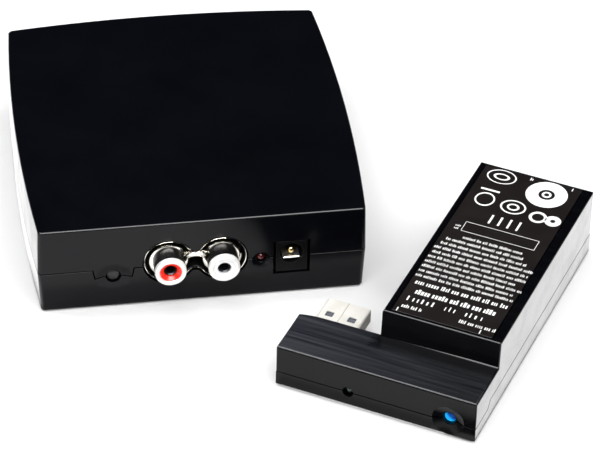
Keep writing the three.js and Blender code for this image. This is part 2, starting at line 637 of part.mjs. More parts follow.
function receiver() {
  const unit = new THREE.Group();
  unit.position.set(RX_PLACE[0], RX_PLACE[1], 0);
  unit.rotation.z = RX_YAW;
  const shell = receiverCase();
  put(unit, 'receiver_upper_shell', blackSatin, shell.intersect(aboveReceiverParting(GAP / 2)));
  put(unit, 'receiver_lower_shell', blackSatin, shell.subtract(aboveReceiverParting(-GAP / 2)));

  put(unit, 'receiver_label', labelPrint, block(
    [RX_WIDTH - RX_BLOCK + LABEL_LEFT + GAP, RX_STEP + LABEL_END + GAP, RX_TOP - LABEL_SINK + GAP],
    [RX_WIDTH - LABEL_RIGHT - GAP, RX_LENGTH - LABEL_END - GAP, RX_TOP - 0.05],
  ));

  const boardTop = RX_BOARD_Z + RX_BOARD_THICK;
  const seat = boardTop + GAP;
  const board = [[2.5, 5], [52, 5], [52, 76], [25, 76], [25, 13.1], [2.5, 13.1]];
  put(unit, 'receiver_circuit_board', boardGreen,
    prism(board.map(([u, v]) => new THREE.Vector2(u, v)), RX_BOARD_Z, boardTop));

  put(unit, 'usb_plug_shell', nickel, usbShell());
  const tongueHigh = USB_LOW + USB_HEIGHT - USB_SKIN - 0.25;
  const tongueLow = tongueHigh - 1.75;
  put(unit, 'usb_plug_tongue', blackPlain, block(
    [USB_U - 5.3, USB_ROOT + 0.5, tongueLow],
    [USB_U + 5.3, USB_TIP - 0.5, tongueHigh],
  ));
  [-3.5, -1.0, 1.0, 3.5].forEach((offset, i) => {
    put(unit, `usb_contact_${i + 1}`, gold, block(
      [USB_U + offset - 0.5, USB_ROOT + 1, tongueLow - 0.45],
      [USB_U + offset + 0.5, USB_TIP - 1.5, tongueLow - 0.25],
    ));
  });

  put(unit, 'receiver_lamp', greenLens, lamp(RX_LAMP_U, RX_PART, RX_LAMP_RADIUS, 0.7, seat));

  const collarV = 3.4 + GAP;
  const plungerV = collarV + 2.0 + GAP;
  const switchV = plungerV + 1.0;
  put(unit, 'receiver_button_cap', blueLens,
    buttonCap(RX_KEY_U, RX_KEY_Z, RX_KEY_RADIUS, 1.2, collarV));
  put(unit, 'receiver_switch_plunger', blackPlain,
    barY(RX_KEY_U, RX_KEY_Z, 1.7, plungerV, switchV + 1.0));
  put(unit, 'receiver_switch_body', steel, switchBody(RX_KEY_U, RX_KEY_Z, switchV, seat));

  put(unit, 'receiver_radio_can', steel,
    shieldCan([27, 22, seat], [50, 44, seat + 2.4], 0.4));
  put(unit, 'receiver_usb_chip', blackPlain, block([28, 8, seat], [33, 13, seat + 1]));
  put(unit, 'receiver_crystal', steel, prism(stadium(32, 50, 8, 3.4), seat, seat + 3.2));
  put(unit, 'receiver_audio_chip', blackPlain, block([40, 48, seat], [47, 55, seat + 1.2]));
  put(unit, 'receiver_capacitor', blackSatin, capacitor(31, 60, 2.5, seat, 5.5));
  const wireZ = seat + 0.6;
  put(unit, 'receiver_aerial', gold,
    wire([[30, 66, wireZ], [30, 73, wireZ], [47, 73, wireZ], [47, 69, wireZ], [36, 69, wireZ]], 0.25));
  RX_SCREWS.forEach(([u, v], i) => {
    put(unit, `receiver_screw_${i + 1}`, steel, screw(u, v, 0.5, RX_SEAT - GAP, 11));
  });
  return unit;
}

// ---------------------------------------------------------------- the kit
const units = new THREE.Group();
units.add(senderBox(), receiver());
units.updateMatrixWorld(true);

// The origin is on the table, under the middle of the two units together.
const span = new THREE.Box3().setFromObject(units, true);
units.position.set(-(span.min.x + span.max.x) / 2, -(span.min.y + span.max.y) / 2, -span.min.z);

const kit = new THREE.Group();
kit.add(units);
export default kit;
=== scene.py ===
"""Looks of the two-piece wireless audio kit: a sender box and its L-shaped USB receiver.

Every piece is built in the frame of its own unit, in millimetres:
the box has x to the right, y back from its front face and z up;
the receiver has x along its front, y towards its back and z up.
"""

import json
import math
import random

import bmesh
import bpy
from mathutils import Matrix, Vector


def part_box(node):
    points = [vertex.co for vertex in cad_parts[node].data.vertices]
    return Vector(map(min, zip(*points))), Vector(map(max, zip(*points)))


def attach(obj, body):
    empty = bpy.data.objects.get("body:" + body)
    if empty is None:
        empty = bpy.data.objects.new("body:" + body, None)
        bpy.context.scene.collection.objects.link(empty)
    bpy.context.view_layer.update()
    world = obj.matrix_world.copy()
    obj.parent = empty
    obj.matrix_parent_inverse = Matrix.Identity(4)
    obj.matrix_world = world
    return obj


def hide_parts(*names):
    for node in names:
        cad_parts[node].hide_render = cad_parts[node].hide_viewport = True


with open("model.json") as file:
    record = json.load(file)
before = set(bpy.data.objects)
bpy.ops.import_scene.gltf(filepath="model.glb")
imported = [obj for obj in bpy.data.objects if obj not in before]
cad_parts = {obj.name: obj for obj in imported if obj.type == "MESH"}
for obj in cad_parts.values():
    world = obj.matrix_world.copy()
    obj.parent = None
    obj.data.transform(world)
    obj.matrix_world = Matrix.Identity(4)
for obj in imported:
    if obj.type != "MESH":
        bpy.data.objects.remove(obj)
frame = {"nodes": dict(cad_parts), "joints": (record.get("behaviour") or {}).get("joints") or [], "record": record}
bpy.context.view_layer.update()

MM = 0.001
SCENE = bpy.context.scene


# ---------------------------------------------------------------- the two unit frames
SAME = 0.02                 # heights closer than this count as the same, in millimetres
FLUSH = 0.05                # points nearer to a wall than this count as being on it


def local_points(node, place):
    """The corners of a CAD node in a unit's own frame, in millimetres."""
    inverse = place.inverted()
    return [inverse @ v.co for v in frame["nodes"][node].data.vertices]


def local_box(node, place):
    """Lowest and highest corner of a CAD node in a unit's own frame, in millimetres."""
    points = local_points(node, place)
    return Vector(map(min, zip(*points))), Vector(map(max, zip(*points)))


def centre(node, place):
    """Middle of a CAD node's box in a unit's own frame."""
    low, high = local_box(node, place)
    return (low + high) / 2


def box_frame():
    """The box stands square to the shared frame, and its origin is below the middle of its front."""
    low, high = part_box("base_upper_shell")
    return Matrix.Translation(((low.x + high.x) / 2, low.y, 0)) @ Matrix.Scale(MM, 4)


def receiver_frame():
    """The receiver is turned, and its button travels straight back along its own y."""
    press = next(j for j in frame["joints"] if j["name"] == "receiver_button_press")
    yaw = math.atan2(-press["axis"][0], press["axis"][1])
    heading = Matrix.Rotation(yaw, 4, "Z") @ Matrix.Scale(MM, 4)
    low, _ = local_box("receiver_lower_shell", heading)
    return heading @ Matrix.Translation((low.x, low.y, 0))


BOX = box_frame()
RX = receiver_frame()
RX_YAW = math.atan2(RX[1][0], RX[0][0])
RX_RIGHT = Vector((math.cos(RX_YAW), math.sin(RX_YAW), 0))
RX_BACK = Vector((-math.sin(RX_YAW), math.cos(RX_YAW), 0))
UP = Vector((0, 0, 1))


def receiver_levels():
    """Height of the receiver's low deck, and where its high block starts going back and across."""
    points = local_points("receiver_upper_shell", RX)
    top = max(p.z for p in points)
    front = [p for p in points if p.y < SAME]
    block = [p for p in points if p.z > top - SAME]
    return max(p.z for p in front), min(p.y for p in block), min(p.x for p in block)


DECK, STEP, NOTCH = receiver_levels()


# ---------------------------------------------------------------- materials
GRAIN_DEPTH = 2e-5          # height of the surface grain, in metres
OFF = (0, 0, 0)
ON = (1, 1, 1)


def blank(name):
    """A new material with its node tree and its main shader."""
    material = bpy.data.materials.new(name)
    material.use_nodes = True
    tree = material.node_tree
    return material, tree, tree.nodes["Principled BSDF"]


def noise(tree, scale, detail=3.0, stretch=(1, 1, 1), turn=0.0):
    """Noise in the object's own metres, so that it rides with the piece."""
    where = tree.nodes.new("ShaderNodeTexCoord")
    mapping = tree.nodes.new("ShaderNodeMapping")
    mapping.vector_type = "TEXTURE"
    mapping.inputs["Rotation"].default_value = (0, 0, turn)
    mapping.inputs["Scale"].default_value = stretch
    texture = tree.nodes.new("ShaderNodeTexNoise")
    texture.inputs["Scale"].default_value = scale
    texture.inputs["Detail"].default_value = detail
    tree.links.new(where.outputs["Object"], mapping.inputs["Vector"])
    tree.links.new(mapping.outputs["Vector"], texture.inputs["Vector"])
    return texture.outputs["Fac"]


def span(tree, source, low, high, start=0.35, end=0.65):
    """Maps the middle of a noise onto the range low to high."""
    mapped = tree.nodes.new("ShaderNodeMapRange")
    mapped.inputs["From Min"].default_value = start
    mapped.inputs["From Max"].default_value = end
    mapped.inputs["To Min"].default_value = low
    mapped.inputs["To Max"].default_value = high
    tree.links.new(source, mapped.inputs["Value"])
    return mapped.outputs["Result"]


def ramp(tree, source, stops):
    """Colours over a value, given as two or more pairs of position and colour."""
    node = tree.nodes.new("ShaderNodeValToRGB")
    elements = node.color_ramp.elements
    for stop, (position, _) in zip(elements, stops):
        stop.position = position
    for position, _ in stops[len(elements):]:
        elements.new(position)
    for stop, (_, colour) in zip(elements, stops):
        stop.color = (*colour, 1)
    tree.links.new(source, node.inputs["Fac"])
    return node.outputs["Color"]


def tint(tree, source, first, second, start=0.35, end=0.65):
    """Runs from one colour to another over the middle of a noise."""
    return ramp(tree, source, [(start, first), (end, second)])


def maths(tree, operation, first, second):
    """A calculation with two linked numbers."""
    node = tree.nodes.new("ShaderNodeMath")
    node.operation = operation
    tree.links.new(first, node.inputs[0])
    tree.links.new(second, node.inputs[1])
    return node.outputs[0]


def dimmed(tree, colour, factor):
    """A linked colour times a linked number."""
    node = tree.nodes.new("ShaderNodeVectorMath")
    node.operation = "SCALE"
    tree.links.new(colour, node.inputs[0])
    tree.links.new(factor, node.inputs["Scale"])
    return node.outputs["Vector"]


def blend(tree, factor, first, second, kind="FLOAT"):
    """Goes from a first linked number or colour to a second one as the factor goes from 0 to 1."""
    node = tree.nodes.new("ShaderNodeMix")
    node.data_type = kind
    ending = {"FLOAT": "Float", "RGBA": "Color"}[kind]
    inputs = {i.identifier: i for i in node.inputs}
    tree.links.new(factor, inputs["Factor_Float"])
    tree.links.new(first, inputs[f"A_{ending}"])
    tree.links.new(second, inputs[f"B_{ending}"])
    return {o.identifier: o for o in node.outputs}[f"Result_{ending}"]


def along(tree, direction, span_mm, values):
    """A value that runs from one number to another between two distances along a receiver direction."""
    where = tree.nodes.new("ShaderNodeTexCoord")
    start = direction.dot(RX.translation)
    project = tree.nodes.new("ShaderNodeVectorMath")
    project.operation = "DOT_PRODUCT"
    tree.links.new(where.outputs["Object"], project.inputs[0])
    project.inputs[1].default_value = direction
    run = tree.nodes.new("ShaderNodeMapRange")
    run.inputs["From Min"].default_value = start + span_mm[0] * MM
    run.inputs["From Max"].default_value = start + span_mm[1] * MM
    run.inputs["To Min"].default_value, run.inputs["To Max"].default_value = values
    tree.links.new(project.outputs["Value"], run.inputs["Value"])
    return run.outputs["Result"]


def grain(tree, shader, source, strength, depth=GRAIN_DEPTH):
    """Fine bumps over a noise."""
    bump = tree.nodes.new("ShaderNodeBump")
    bump.inputs["Strength"].default_value = strength
    bump.inputs["Distance"].default_value = depth
    tree.links.new(source, bump.inputs["Height"])
    tree.links.new(bump.outputs["Normal"], shader.inputs["Normal"])


def moulded(name, dark, light, rough, grain_scale=2600, grain_strength=0.12, level=0.5):
    """Moulded plastic: faintly clouded colour and gloss over a fine surface grain."""
    material, tree, shader = blank(name)
    cloud = noise(tree, 45, 4)
    tree.links.new(tint(tree, cloud, dark, light), shader.inputs["Base Color"])
    haze = noise(tree, 160, 5)
    tree.links.new(span(tree, haze, *rough), shader.inputs["Roughness"])
    grain(tree, shader, noise(tree, grain_scale, 2), grain_strength)
    shader.inputs["Specular IOR Level"].default_value = level
    return material


def plated(name, first, second, rough, scratch=0.1, metal=1.0):
    """Plated or drawn metal: warm and cool patches, uneven gloss and faint drawing lines."""
    material, tree, shader = blank(name)
    cloud = noise(tree, 220, 3)
    tree.links.new(tint(tree, cloud, first, second), shader.inputs["Base Color"])
    haze = noise(tree, 900, 3)
    tree.links.new(span(tree, haze, *rough), shader.inputs["Roughness"])
    lines = noise(tree, 900, 2, stretch=(1, 12, 1), turn=RX_YAW)
    grain(tree, shader, lines, scratch)
    shader.inputs["Metallic"].default_value = metal
    return material


def receiver_plastic():
    """Black plastic: glossy on its faces, satin and faintly streaked on the top of the low deck.
    Along the foot of the high block the deck keeps the dark, glossy face colour: a painted reflection
    of the block.  Across the deck the colour also fades from left to right: painted light."""
    material, tree, shader = blank("receiver_black")
    streaks = noise(tree, 950, 5, stretch=(26, 1, 1), turn=RX_YAW)
    height = along(tree, UP, (DECK - 1, DECK + 1), (0, 1))      # 0.5 is the deck's own height
    on_deck = ramp(tree, height, [(0.40, OFF), (0.47, ON), (0.53, ON), (0.60, OFF)])
    # painted reflection: near the high block the deck keeps the dark face colour, standing in for the block's
    # mirror image
    clear_of_block_reflection = along(tree, RX_BACK, (STEP - 6.8, STEP - 3), (1, 0))
    left_of_block = along(tree, RX_RIGHT, (NOTCH - 2.5, NOTCH + 1), (1, 0))
    satin_outside_painted_reflection = maths(tree, "MULTIPLY", on_deck, maths(tree, "MAXIMUM", clear_of_block_reflection, left_of_block))
    face_tint = tint(tree, streaks, (0.0010, 0.0011, 0.0018), (0.0018, 0.0020, 0.0028))
    deck_tint = tint(tree, streaks, (0.0050, 0.0056, 0.0082), (0.0160, 0.0168, 0.0200), 0.36, 0.64)
    # painted light: the deck's colour is scaled brighter at the left and darker at the right
    painted_light_fall = along(tree, RX_RIGHT, (0, 50), (1.9, 0.75))
    colour = blend(tree, satin_outside_painted_reflection, face_tint, dimmed(tree, deck_tint, painted_light_fall), "RGBA")
    tree.links.new(colour, shader.inputs["Base Color"])
    face_haze = span(tree, noise(tree, 160, 4), 0.16, 0.24)
    deck_haze = span(tree, streaks, 0.28, 0.38)
    tree.links.new(blend(tree, satin_outside_painted_reflection, face_haze, deck_haze), shader.inputs["Roughness"])
    grain(tree, shader, noise(tree, 2400, 2), 0.05)
    shader.inputs["Specular IOR Level"].default_value = 0.20
    return material


def blue_painted_glow():
    """The push button's glow is painted light: bright at its lower left, deep blue shade at its upper right."""
    material, tree, shader = blank("blue_button")
    lean = Vector((-0.6, 0, -0.8))
    direction = lean.x * RX_RIGHT + lean.z * UP
    middle = lean.dot(centre("receiver_button_cap", RX))
    # painted light and shade: the emission runs from deep blue at the upper right to bright at the lower left
    painted_light_rise = along(tree, direction, (middle - 0.8, middle + 1.0), (0.0, 1.0))
    painted_light_glow = tint(tree, painted_light_rise, (0.0, 0.010, 0.12), (0.01, 0.52, 1.0), 0.12, 0.62)
    tree.links.new(painted_light_glow, shader.inputs["Emission Color"])
    shader.inputs["Emission Strength"].default_value = 0.8
    mottle = noise(tree, 1500, 2)
    tree.links.new(tint(tree, mottle, (0.0, 0.05, 0.25), (0.0, 0.08, 0.35)), shader.inputs["Base Color"])
    tree.links.new(span(tree, mottle, 0.30, 0.4), shader.inputs["Roughness"])
    shader.inputs["Specular IOR Level"].default_value = 0.12
    return material


def lens(name, first, second):
    """A tinted epoxy lamp lens, unlit."""
    material, tree, shader = blank(name)
    cloud = noise(tree, 900, 2)
    tree.links.new(tint(tree, cloud, first, second), shader.inputs["Base Color"])
    tree.links.new(span(tree, cloud, 0.06, 0.14), shader.inputs["Roughness"])
    shader.inputs["Coat Weight"].default_value = 0.4
    return material


def circuit_board():
    """Green solder mask with paler traces below it."""
    material, tree, shader = blank("board_green")
    lines = noise(tree, 240, 1, stretch=(1, 5, 1))
    tree.links.new(tint(tree, lines, (0.006, 0.06, 0.02), (0.012, 0.11, 0.04), 0.45, 0.55),
                   shader.inputs["Base Color"])
    tree.links.new(span(tree, lines, 0.3, 0.4), shader.inputs["Roughness"])
    grain(tree, shader, lines, 0.3, 2 * GRAIN_DEPTH)
    return material


BLACK_GLOSS = moulded("sender_black", (0.0013, 0.0015, 0.0025), (0.0019, 0.0022, 0.0036), (0.19, 0.23),
                     level=0.22)
BLACK_KEY = moulded("key_black", (0.004, 0.004, 0.005), (0.006, 0.006, 0.007), (0.28, 0.36))
BLACK_INNER = moulded("inner_black", (0.0018, 0.0018, 0.0022), (0.0032, 0.0032, 0.0038), (0.30, 0.42),
                      level=0.14)
BLACK_RX = receiver_plastic()
LABEL_BLACK = moulded("label_black", (0.0070, 0.0048, 0.0048), (0.0090, 0.0066, 0.0066), (0.34, 0.42),
                      4000, 0.03, 0.2)
PRINT_WHITE = moulded("print_white", (0.80, 0.80, 0.79), (0.90, 0.90, 0.89), (0.5, 0.6))
CHROME = plated("phono_nickel", (0.88, 0.84, 0.75), (0.95, 0.92, 0.86), (0.10, 0.18), 0.03)
# painted reflection: the plated barrel gets a near-black colour that stands in for the dark surroundings it
# mirrors
BARREL_PAINTED_DARK = plated("phono_barrel_painted_dark", (0.010, 0.010, 0.011), (0.035, 0.035, 0.037), (0.28, 0.40), 0.2)
# painted highlight: the barrel's plating made a half-matt near-white so that its edge always looks lit
RIM_PAINTED_HIGHLIGHT = plated("phono_rim_painted_highlight", (0.94, 0.93, 0.90), (0.97, 0.96, 0.94), (0.34, 0.42), 0.02, 0.45)
NICKEL = plated("contact_nickel", (0.84, 0.81, 0.75), (0.92, 0.90, 0.86), (0.30, 0.42), 0.12)
USB_METAL = plated("plug_steel", (0.78, 0.76, 0.70), (0.88, 0.86, 0.81), (0.34, 0.42), 0.1, 0.3)
TONGUE = moulded("plug_tongue", (0.045, 0.05, 0.06), (0.085, 0.095, 0.12), (0.4, 0.5))
# painted shade: the contact gets a near-black colour that stands in for the shade deep in the insert's hole
SLEEVE_PAINTED_SHADE = plated("contact_painted_shade", (0.02, 0.02, 0.022), (0.05, 0.05, 0.052), (0.35, 0.5), 0.1)
GOLD = plated("contact_gold", (0.83, 0.58, 0.22), (0.92, 0.70, 0.34), (0.15, 0.25), 0.05)
STEEL = plated("plain_steel", (0.40, 0.40, 0.42), (0.52, 0.52, 0.54), (0.28, 0.40), 0.1)
RED = moulded("insert_red", (0.82, 0.018, 0.006), (0.92, 0.028, 0.010), (0.22, 0.32), 1800, 0.06)
WHITE = moulded("insert_white", (0.84, 0.85, 0.86), (0.92, 0.92, 0.92), (0.22, 0.32), 1800, 0.06)
RED_LENS = lens("lamp_red", (0.045, 0.002, 0.003), (0.11, 0.006, 0.008))
GREEN_LENS = lens("lamp_green", (0.0006, 0.014, 0.008), (0.002, 0.032, 0.018))
BLUE = blue_painted_glow()
BOARD = circuit_board()
RUBBER = moulded("foot_rubber", (0.010, 0.010, 0.010), (0.018, 0.018, 0.018), (0.75, 0.9), 900, 0.4)


# ---------------------------------------------------------------- building pieces
def piece(name, bm, body, material, replaces=(), angle=35):
    """Turns a bmesh in metres into a smooth-shaded piece that rides on a CAD body."""
    bmesh.ops.recalc_face_normals(bm, faces=bm.faces)
    mesh = bpy.data.meshes.new(name)
    bm.to_mesh(mesh)
    bm.free()
    mesh.shade_smooth()
    mesh.set_sharp_from_angle(angle=math.radians(angle))
    mesh.materials.append(material)
    made = bpy.data.objects.new(name, mesh)
    SCENE.collection.objects.link(made)
    weighted = made.modifiers.new("even_shading", "WEIGHTED_NORMAL")
    weighted.keep_sharp = True
    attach(made, body)
    if replaces:
        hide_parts(*replaces)
    return made


def arc(x, y, radius, start, end, steps=6):
    """Points on a circle's arc, from one angle to another in degrees."""
    angles = [math.radians(start + (end - start) * i / steps) for i in range(steps + 1)]
    return [(x + radius * math.cos(a), y + radius * math.sin(a)) for a in angles]


def join_rings(bm, first, second):
    """Faces between two rings of vertices; a ring of one vertex closes to a point."""
    count = max(len(first), len(second))
    for i in range(count):
        j = (i + 1) % count
        corners = [first[i % len(first)], first[j % len(first)],
                   second[j % len(second)], second[i % len(second)]]
        bm.faces.new(list(dict.fromkeys(corners)))


def stack(bm, rings, closed=False):
    """Skins a stack of point rings, in metres.  An open stack gets a face at each end."""
    made = [[bm.verts.new(p) for p in ring] for ring in rings]
    pairs = list(zip(made, made[1:]))
    if closed:
        pairs.append((made[-1], made[0]))
    for first, second in pairs:
        join_rings(bm, first, second)
    if not closed:
        for ring in (made[0], made[-1]):
            if len(ring) > 2:
                bm.faces.new(ring)


def turned(bm, place, spot, profile, sides=48, closed=False):
    """A turned body about an axis along y, through a spot given in x and z.
    Its profile is a list of (radius, distance along the axis)."""
    rings = []
    for radius, y in profile:
        ring = []
        for i in range(sides if radius > 0 else 1):
            a = 2 * math.pi * i / sides
            ring.append(place @ Vector((spot[0] + radius * math.cos(a), y, spot[1] + radius * math.sin(a))))
        rings.append(ring)
    stack(bm, rings, closed)


def nose(radius, tip, flatness=1.0, steps=8):
    """Profile of a rounded end, from its tip outwards."""
    angles = [math.pi / 2 * i / steps for i in range(steps + 1)]
    return [(radius * math.sin(a), tip + radius * flatness * (1 - math.cos(a))) for a in angles]


def slab(bm, place, low, high, rounding, segments=2):
    """A block with every edge rounded."""
    part = bmesh.new()
    bmesh.ops.create_cube(part, size=1.0)
    size = Vector(high) - Vector(low)
    middle = (Vector(high) + Vector(low)) / 2
    bmesh.ops.scale(part, vec=size, verts=part.verts)
    bmesh.ops.translate(part, vec=middle, verts=part.verts)
    bmesh.ops.bevel(part, geom=part.edges[:], offset=rounding, segments=segments,
                    affect="EDGES", profile=0.5)
    bmesh.ops.transform(part, matrix=place, verts=part.verts)
    scratch = bpy.data.meshes.new("slab")
    part.to_mesh(scratch)
    part.free()
    bm.from_mesh(scratch)
    bpy.data.meshes.remove(scratch)


def carved(target, cutter_bm):
    """Cuts a bmesh body out of a piece and keeps the result as its mesh."""
    bmesh.ops.recalc_face_normals(cutter_bm, faces=cutter_bm.faces)
    mesh = bpy.data.meshes.new("cutter")
    cutter_bm.to_mesh(mesh)
    cutter_bm.free()
    cutter = bpy.data.objects.new("cutter", mesh)
    SCENE.collection.objects.link(cutter)
    cut = target.modifiers.new("cut", "BOOLEAN")
    cut.operation = "DIFFERENCE"
    cut.solver = "EXACT"
    cut.use_self = True
    cut.object = cutter
    others = [m for m in target.modifiers if m != cut]
    for m in others:
        m.show_viewport = False
    bpy.context.view_layer.update()
    graph = bpy.context.evaluated_depsgraph_get()
    result = bpy.data.meshes.new_from_object(target.evaluated_get(graph), depsgraph=graph)
    target.modifiers.remove(cut)
    for m in others:
        m.show_viewport = True
    bpy.data.objects.remove(cutter)
    result.name = target.name
    target.data = result


def both(test):
    """An edge test that asks the same of both ends."""
    return lambda a, b: test(a) and test(b)


def refined(name, node, place, body, material, rounds, angle=24):
    """A CAD node's shape with its edges rounded: rounds is a list of (test, width, segments).
    A test gets both ends of an edge in the unit's own millimetres."""
    bm = bmesh.new()
    bm.from_mesh(frame["nodes"][node].data)
    bmesh.ops.remove_doubles(bm, verts=bm.verts, dist=1e-7)
    bmesh.ops.dissolve_limit(bm, angle_limit=math.radians(0.3), verts=bm.verts, edges=bm.edges)
    inverse = place.inverted()
    for test, width, segments in rounds:
        chosen = []
        for edge in bm.edges:
            if not edge.is_manifold or edge.calc_face_angle(0) < math.radians(20):
                continue
            if test(*(inverse @ v.co for v in edge.verts)):
                chosen.append(edge)
        bmesh.ops.bevel(bm, geom=chosen, offset=width * MM, segments=segments, affect="EDGES",
                        profile=0.5, clamp_overlap=True)
        bmesh.ops.remove_doubles(bm, verts=bm.verts, dist=2e-7)
    return piece(name, bm, body, material, [node], angle)


# ---------------------------------------------------------------- camera, lights and floor
LENS = 202.5                # long lens, from far away
SENSOR = 36.0
AZIMUTH = math.radians(-9.40)
ELEVATION = math.radians(37.81)
ROLL = math.radians(1.295)
DISTANCE = 0.9113
AIM = BOX @ Vector((30.05, 28.38, 0))


def aim_camera():
    """The photo's view: a long lens, from the front and a little from the left, slightly rolled."""
    data = bpy.data.cameras.new("camera")
    data.lens = LENS
    data.sensor_width = SENSOR
    data.clip_start = 0.05
    data.clip_end = 20
    camera = bpy.data.objects.new("camera", data)
    SCENE.collection.objects.link(camera)
    back = Vector((math.sin(AZIMUTH) * math.cos(ELEVATION),
                   -math.cos(AZIMUTH) * math.cos(ELEVATION), math.sin(ELEVATION)))
    right = Vector((math.cos(AZIMUTH), math.sin(AZIMUTH), 0))
    up = back.cross(right)
    side = right * math.cos(ROLL) + up * math.sin(ROLL)
    top = up * math.cos(ROLL) - right * math.sin(ROLL)
    turn = Matrix((side, top, back)).transposed().to_4x4()
    camera.matrix_world = Matrix.Translation(AIM + back * DISTANCE) @ turn
    SCENE.camera = camera


def softbox(name, spot, target, size, radiance, colour=(1, 1, 1), diffuse=True, glossy=True):
    """A rectangular soft light given by how bright its face looks."""
    data = bpy.data.lights.new(name, "AREA")
    data.shape = "RECTANGLE"
    data.size, data.size_y = size
    data.energy = radiance * math.pi * size[0] * size[1]
    data.color = colour
    lamp = bpy.data.objects.new(name, data)
    SCENE.collection.objects.link(lamp)
    lamp.location = spot
    lamp.rotation_mode = "QUATERNION"
    lamp.rotation_quaternion = (Vector(target) - Vector(spot)).to_track_quat("-Z", "Y")
    lamp.visible_diffuse = diffuse
    lamp.visible_glossy = glossy
    return lamp


def matt(name, scale, dark, light):
    """A matt surface with a very faint mottle."""
    material, tree, shader = blank(name)
    mottle = noise(tree, scale, 2)
    tree.links.new(tint(tree, mottle, dark, light), shader.inputs["Base Color"])
    tree.links.new(span(tree, mottle, 0.9, 1.0), shader.inputs["Roughness"])
    shader.inputs["Specular IOR Level"].default_value = 0.0
    return material


def sheet(name, corners, material):
    """One flat face through its corners, in metres."""
    bm = bmesh.new()
    bm.faces.new([bm.verts.new(c) for c in corners])
    mesh = bpy.data.meshes.new(name)
    bm.to_mesh(mesh)
    bm.free()
    mesh.materials.append(material)
    made = bpy.data.objects.new(name, mesh)
    SCENE.collection.objects.link(made)
    return made


def floor():
    """A pale seamless table."""
    reach = 6.0
    corners = [(-reach, -reach, 0), (reach, -reach, 0), (reach, reach, 0), (-reach, reach, 0)]
    table = sheet("table", corners, matt("table_white", 6, (0.86, 0.86, 0.86), (0.88, 0.88, 0.88)))


def floor_card(name, place, low, high, radiance, height=0.3):
    """A pale card lying on the table beside a unit, seen only in its glossy side."""
    middle = place @ Vector(((low[0] + high[0]) / 2, (low[1] + high[1]) / 2, height))
    size = ((high[0] - low[0]) * MM, (high[1] - low[1]) * MM)
    lamp = softbox(name, middle, middle + UP, size, radiance, diffuse=False)
    lamp.rotation_quaternion = place.to_quaternion() @ Matrix.Rotation(math.pi, 4, "X").to_quaternion()
    lamp.visible_camera = False


def flag(name, place, corners, shade=0.0):
    """A black or grey flag seen only in glossy sides: it puts the dark bands into the black plastic.
    Its corners are given in a unit's own millimetres."""
    material = matt(name, 20, (shade + 0.001,) * 3, (shade + 0.002,) * 3)
    made = sheet(name, [place @ Vector(c) for c in corners], material)
    made.visible_camera = False
    made.visible_diffuse = False
    made.visible_shadow = False
    made.visible_transmission = False


def lying(z, *corners):
    """Corners given in x and y, all at one height."""
    return [(x, y, z) for x, y in corners]


def standing(y, *corners):
    """Corners given in x and z, all at one depth."""
    return [(x, y, z) for x, z in corners]


def sky():
    """A nearly dark, slightly blue world, and the plain view of colours."""
    world = bpy.data.worlds.new("studio")
    world.use_nodes = True
    background = world.node_tree.nodes["Background"]
    background.inputs["Color"].default_value = (0.55, 0.6, 0.7, 1)
    background.inputs["Strength"].default_value = 0.02
    SCENE.world = world
    SCENE.view_settings.view_transform = "Standard"


def soft_lights():
    """Broad light from the front and above, and one high card that the rounded upper edges mirror."""
    key = 1.5 * Vector((-0.05, -0.62, 0.775))
    softbox("key", key, (0, 0, 0), (2.4, 0.9), 3.45, glossy=False)
    softbox("sky", (0.0, 0.15, 1.6), (0, 0.05, 0), (1.8, 1.8), 1.55, glossy=False)
    softbox("high_card", (-0.2, -0.40, 1.0), (0, -0.02, 0), (1.7, 0.95), 17.5, diffuse=False)
    softbox("right_fill", (0.9, -0.1, 0.6), (0.1, 0, 0), (1.2, 1.0), 2.2, glossy=False)
    softbox("left_floor", (-0.24, 0.08, 0.30), (-0.12, 0.04, 0), (0.08, 0.4), 6.0, glossy=False)


def cards_and_flags():
    """Each lies or stands where one side of a unit mirrors it towards the camera."""
    low, high = local_box("base_upper_shell", BOX)
    floor_card("left_card", BOX, (low.x - 9, 0), (low.x + 1, high.y + 36), 1.35)
    low, high = local_box("receiver_upper_shell", RX)
    floor_card("right_card", RX, (high.x + 0.5, 0), (high.x + 36, high.y + 26), 2.2)
    floor_card("foot_card", RX, (1.5, 0.1), (46, 0.7), 7.0, 0.04)
    flag("front_shade", BOX, lying(0.15, (-44, -0.6), (44, -0.6), (44, -9), (-44, -9)), 0.5)
    flag("arm_shade", RX, lying(0.15, (0, -0.5), (42, -0.5), (42, -4), (0, -4)), 0.62)
    flag("corner_flag", RX, lying(0.2, (42, -2.5), (62, -2.5), (62, -9), (44, -9)))
    flag("front_flag", Matrix.Scale(MM, 4), standing(-250, (-600, 0), (600, 0), (600, 120), (-600, 120)))
    flag("plug_flag", BOX, standing(-14, (20, 3), (62, 3), (62, 17), (14, 17)))
    flag("gap_flag", BOX, lying(0.2, (12, -12), (60, -12), (60, -30), (26, -24)))


aim_camera()
floor()
sky()
soft_lights()
cards_and_flags()


# ---------------------------------------------------------------- sender box
def sender_shells():
    """Both halves of the box's case, with their outer edges rounded."""
    low, high = local_box("base_upper_shell", BOX)
    base = local_box("base_lower_shell", BOX)[0].z
    tall, corner = 4, 4.2       # how high the upright corner edges are at least, and how near the sides
    on_top = both(lambda p: p.z > high.z - SAME)
    upright = lambda a, b: abs(a.z - b.z) > tall and min(abs(a.x), abs(b.x)) > high.x - corner
    at_front = both(lambda p: p.y < FLUSH)
    under = both(lambda p: p.z < base + SAME)
    refined("sender_upper_shell", "base_upper_shell", BOX, "base_unit", BLACK_GLOSS,
            [(on_top, 0.55, 5), (upright, 0.3, 2), (at_front, 0.12, 2)])
    refined("sender_lower_shell", "base_lower_shell", BOX, "base_unit", BLACK_GLOSS,
            [(under, 0.8, 4), (upright, 0.3, 2), (at_front, 0.12, 2)])


